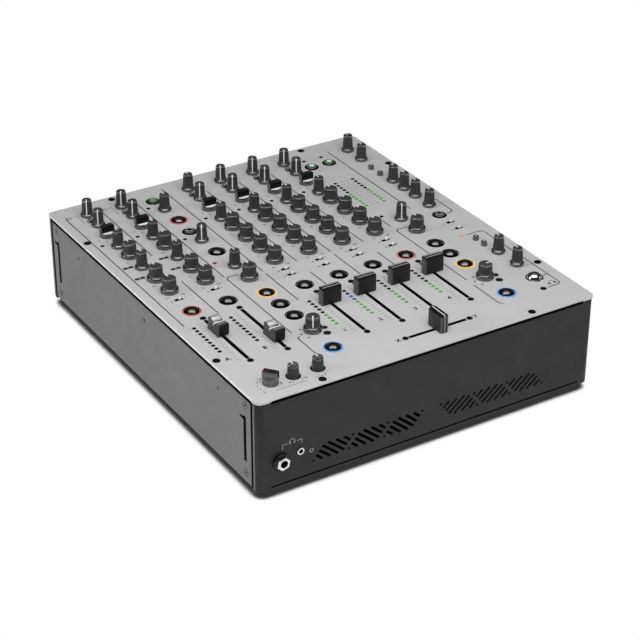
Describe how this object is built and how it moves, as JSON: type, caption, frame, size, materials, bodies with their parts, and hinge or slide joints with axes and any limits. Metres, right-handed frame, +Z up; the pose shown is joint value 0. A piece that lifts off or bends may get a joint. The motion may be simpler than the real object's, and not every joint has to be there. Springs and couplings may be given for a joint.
{
  "type": "dj mixer",
  "caption": "Table-top DJ mixer: silver control fascia with knobs, lit buttons, channel faders and a crossfader on a dark vented steel case, sockets on the rear.",
  "frame": {"origin": "on the table under the middle of the case", "axes": "+X to the user's right, +Y towards the rear sockets, +Z up"},
  "size_m": [0.32, 0.38, 0.1043],
  "materials": {
    "silver_paint": "satin silver powder coat",
    "charcoal_paint": "fine-textured charcoal powder coat",
    "side_paint": "fine-textured dark grey powder coat",
    "black_steel": "black zinc screws",
    "foot_rubber": "matt black rubber",
    "knob_plastic": "soft-touch dark grey plastic",
    "cap_plastic": "black ridged plastic",
    "button_plastic": "gloss black plastic",
    "light_plastic": "clear and tinted plastic",
    "socket_metal": "nickel plate with black plastic bodies",
    "socket_plastic": "black moulded plastic",
    "circuit_board": "green solder mask",
    "pot_metal": "tinned steel cans"
  },
  "bodies": {
    "case": {"fascia": "silver_paint", "front_panel": "charcoal_paint", "rear_panel": "charcoal_paint", "base_plate": "charcoal_paint", "left_side_panel": "side_paint", "right_side_panel": "side_paint", "feet": "foot_rubber", "screws": "black_steel", "control_board": "circuit_board", "potentiometers": "pot_metal", "fader_tracks": "pot_metal", "power_supply": "pot_metal", "headphone_jacks": "socket_metal", "mains_inlet": "socket_plastic", "phono_sockets": "socket_metal", "line_sockets": "socket_metal", "indicator_leds": "light_plastic", "button_bezels": "socket_metal", "eq_knobs": "knob_plastic", "level_knobs": "knob_plastic", "source_selectors": "knob_plastic", "trim_knobs": "knob_plastic", "slide_switches": "socket_plastic"},
    "fader_a": {"fader_a": "cap_plastic"},
    "fader_b": {"fader_b": "cap_plastic"},
    "fader_1": {"fader_1": "cap_plastic"},
    "fader_2": {"fader_2": "cap_plastic"},
    "fader_3": {"fader_3": "cap_plastic"},
    "fader_4": {"fader_4": "cap_plastic"},
    "crossfader": {"crossfader": "cap_plastic"},
    "filter_one_frequency_knob": {"filter_one_frequency_knob": "knob_plastic"},
    "filter_one_resonance_knob": {"filter_one_resonance_knob": "knob_plastic"},
    "filter_two_frequency_knob": {"filter_two_frequency_knob": "knob_plastic"},
    "filter_two_resonance_knob": {"filter_two_resonance_knob": "knob_plastic"},
    "master_level_knob": {"master_level_knob": "knob_plastic"},
    "headphone_level_knob": {"headphone_level_knob": "knob_plastic"},
    "curve_selector": {"curve_selector": "knob_plastic"},
    "cue_button_a": {"cue_button_a": "button_plastic"},
    "cue_button_b": {"cue_button_b": "button_plastic"},
    "cue_button_1": {"cue_button_1": "button_plastic"},
    "cue_button_2": {"cue_button_2": "button_plastic"},
    "cue_button_3": {"cue_button_3": "button_plastic"},
    "cue_button_4": {"cue_button_4": "button_plastic"},
    "send_one_cue_button": {"send_one_cue_button": "button_plastic"},
    "send_two_cue_button": {"send_two_cue_button": "button_plastic"},
    "filter_one_high_button": {"filter_one_high_button": "button_plastic"},
    "filter_one_band_button": {"filter_one_band_button": "button_plastic"},
    "filter_one_low_button": {"filter_one_low_button": "button_plastic"},
    "filter_one_on_button": {"filter_one_on_button": "button_plastic"},
    "filter_two_high_button": {"filter_two_high_button": "button_plastic"},
    "filter_two_band_button": {"filter_two_band_button": "button_plastic"},
    "filter_two_low_button": {"filter_two_low_button": "button_plastic"},
    "filter_two_on_button": {"filter_two_on_button": "button_plastic"},
    "headphone_split_button": {"headphone_split_button": "button_plastic"},
    "send_one_button": {"send_one_button": "light_plastic"},
    "send_two_button": {"send_two_button": "light_plastic"},
    "mix_left_button": {"mix_left_button": "light_plastic"},
    "mix_right_button": {"mix_right_button": "light_plastic"},
    "monitor_button": {"monitor_button": "light_plastic"},
    "power_rocker": {"power_rocker": "socket_plastic"}
  },
  "joints": [
    {"name": "fader_a_slide", "type": "slide", "parent": "case", "child": "fader_a", "axis": [0, 1, 0], "range_m": [-0.0425, 0.0175]},
    {"name": "fader_b_slide", "type": "slide", "parent": "case", "child": "fader_b", "axis": [0, 1, 0], "range_m": [-0.0125, 0.0475]},
    {"name": "fader_1_slide", "type": "slide", "parent": "case", "child": "fader_1", "axis": [0, 1, 0], "range_m": [-0.04725, 0.01275]},
    {"name": "fader_2_slide", "type": "slide", "parent": "case", "child": "fader_2", "axis": [0, 1, 0], "range_m": [-0.04725, 0.01275]},
    {"name": "fader_3_slide", "type": "slide", "parent": "case", "child": "fader_3", "axis": [0, 1, 0], "range_m": [-0.04725, 0.01275]},
    {"name": "fader_4_slide", "type": "slide", "parent": "case", "child": "fader_4", "axis": [0, 1, 0], "range_m": [-0.04725, 0.01275]},
    {"name": "crossfader_slide", "type": "slide", "parent": "case", "child": "crossfader", "axis": [1, 0, 0], "range_m": [-0.0225, 0.0225]},
    {"name": "filter_one_frequency_knob_turn", "type": "hinge", "parent": "case", "child": "filter_one_frequency_knob", "pos_m": [-0.067, -0.113, 0.088], "axis": [0, 0, 1], "range_deg": [-300, 0]},
    {"name": "filter_one_resonance_knob_turn", "type": "hinge", "parent": "case", "child": "filter_one_resonance_knob", "pos_m": [-0.067, -0.0125, 0.088], "axis": [0, 0, 1], "range_deg": [-150, 150]},
    {"name": "filter_two_frequency_knob_turn", "type": "hinge", "parent": "case", "child": "filter_two_frequency_knob", "pos_m": [0.1005, -0.113, 0.088], "axis": [0, 0, 1], "range_deg": [-60, 240]},
    {"name": "filter_two_resonance_knob_turn", "type": "hinge", "parent": "case", "child": "filter_two_resonance_knob", "pos_m": [0.1005, -0.0125, 0.088], "axis": [0, 0, 1], "range_deg": [-150, 150]},
    {"name": "master_level_knob_turn", "type": "hinge", "parent": "case", "child": "master_level_knob", "pos_m": [0.137, 0.1573, 0.088], "axis": [0, 0, 1], "range_deg": [-150, 150]},
    {"name": "headphone_level_knob_turn", "type": "hinge", "parent": "case", "child": "headphone_level_knob", "pos_m": [0.137, -0.1084, 0.088], "axis": [0, 0, 1], "range_deg": [-150, 150]},
    {"name": "curve_selector_turn", "type": "hinge", "parent": "case", "child": "curve_selector", "pos_m": [-0.1356, -0.1642, 0.088], "axis": [0, 0, 1], "range_deg": [-60, 0]},
    {"name": "cue_button_a_press", "type": "slide", "parent": "case", "child": "cue_button_a", "axis": [0, 0, 1], "range_m": [-0.0012, 0], "stiffness_N_per_m": 300},
    {"name": "cue_button_b_press", "type": "slide", "parent": "case", "child": "cue_button_b", "axis": [0, 0, 1], "range_m": [-0.0012, 0], "stiffness_N_per_m": 300},
    {"name": "cue_button_1_press", "type": "slide", "parent": "case", "child": "cue_button_1", "axis": [0, 0, 1], "range_m": [-0.0012, 0], "stiffness_N_per_m": 300},
    {"name": "cue_button_2_press", "type": "slide", "parent": "case", "child": "cue_button_2", "axis": [0, 0, 1], "range_m": [-0.0012, 0], "stiffness_N_per_m": 300},
    {"name": "cue_button_3_press", "type": "slide", "parent": "case", "child": "cue_button_3", "axis": [0, 0, 1], "range_m": [-0.0012, 0], "stiffness_N_per_m": 300},
    {"name": "cue_button_4_press", "type": "slide", "parent": "case", "child": "cue_button_4", "axis": [0, 0, 1], "range_m": [-0.0012, 0], "stiffness_N_per_m": 300},
    {"name": "send_one_cue_button_press", "type": "slide", "parent": "case", "child": "send_one_cue_button", "axis": [0, 0, 1], "range_m": [-0.0012, 0], "stiffness_N_per_m": 300},
    {"name": "send_two_cue_button_press", "type": "slide", "parent": "case", "child": "send_two_cue_button", "axis": [0, 0, 1], "range_m": [-0.0012, 0], "stiffness_N_per_m": 300},
    {"name": "filter_one_high_button_press", "type": "slide", "parent": "case", "child": "filter_one_high_button", "axis": [0, 0, 1], "range_m": [-0.0012, 0], "stiffness_N_per_m": 300},
    {"name": "filter_one_band_button_press", "type": "slide", "parent": "case", "child": "filter_one_band_button", "axis": [0, 0, 1], "range_m": [-0.0012, 0], "stiffness_N_per_m": 300},
    {"name": "filter_one_low_button_press", "type": "slide", "parent": "case", "child": "filter_one_low_button", "axis": [0, 0, 1], "range_m": [-0.0012, 0], "stiffness_N_per_m": 300},
    {"name": "filter_one_on_button_press", "type": "slide", "parent": "case", "child": "filter_one_on_button", "axis": [0, 0, 1], "range_m": [-0.0012, 0], "stiffness_N_per_m": 300},
    {"name": "filter_two_high_button_press", "type": "slide", "parent": "case", "child": "filter_two_high_button", "axis": [0, 0, 1], "range_m": [-0.0012, 0], "stiffness_N_per_m": 300},
    {"name": "filter_two_band_button_press", "type": "slide", "parent": "case", "child": "filter_two_band_button", "axis": [0, 0, 1], "range_m": [-0.0012, 0], "stiffness_N_per_m": 300},
    {"name": "filter_two_low_button_press", "type": "slide", "parent": "case", "child": "filter_two_low_button", "axis": [0, 0, 1], "range_m": [-0.0012, 0], "stiffness_N_per_m": 300},
    {"name": "filter_two_on_button_press", "type": "slide", "parent": "case", "child": "filter_two_on_button", "axis": [0, 0, 1], "range_m": [-0.0012, 0], "stiffness_N_per_m": 300},
    {"name": "headphone_split_button_press", "type": "slide", "parent": "case", "child": "headphone_split_button", "axis": [0, 0, 1], "range_m": [-0.0012, 0], "stiffness_N_per_m": 300},
    {"name": "send_one_button_press", "type": "slide", "parent": "case", "child": "send_one_button", "axis": [0, 0, 1], "range_m": [-0.0012, 0], "stiffness_N_per_m": 300},
    {"name": "send_two_button_press", "type": "slide", "parent": "case", "child": "send_two_button", "axis": [0, 0, 1], "range_m": [-0.0012, 0], "stiffness_N_per_m": 300},
    {"name": "mix_left_button_press", "type": "slide", "parent": "case", "child": "mix_left_button", "axis": [0, 0, 1], "range_m": [-0.0012, 0], "stiffness_N_per_m": 300},
    {"name": "mix_right_button_press", "type": "slide", "parent": "case", "child": "mix_right_button", "axis": [0, 0, 1], "range_m": [-0.0012, 0], "stiffness_N_per_m": 300},
    {"name": "monitor_button_press", "type": "slide", "parent": "case", "child": "monitor_button", "axis": [0, 0, 1], "range_m": [-0.0012, 0], "stiffness_N_per_m": 300},
    {"name": "power_rocker_tilt", "type": "hinge", "parent": "case", "child": "power_rocker", "pos_m": [-0.1061, 0.185, 0.05], "axis": [1, 0, 0], "range_deg": [-16, 0]}
  ]
}
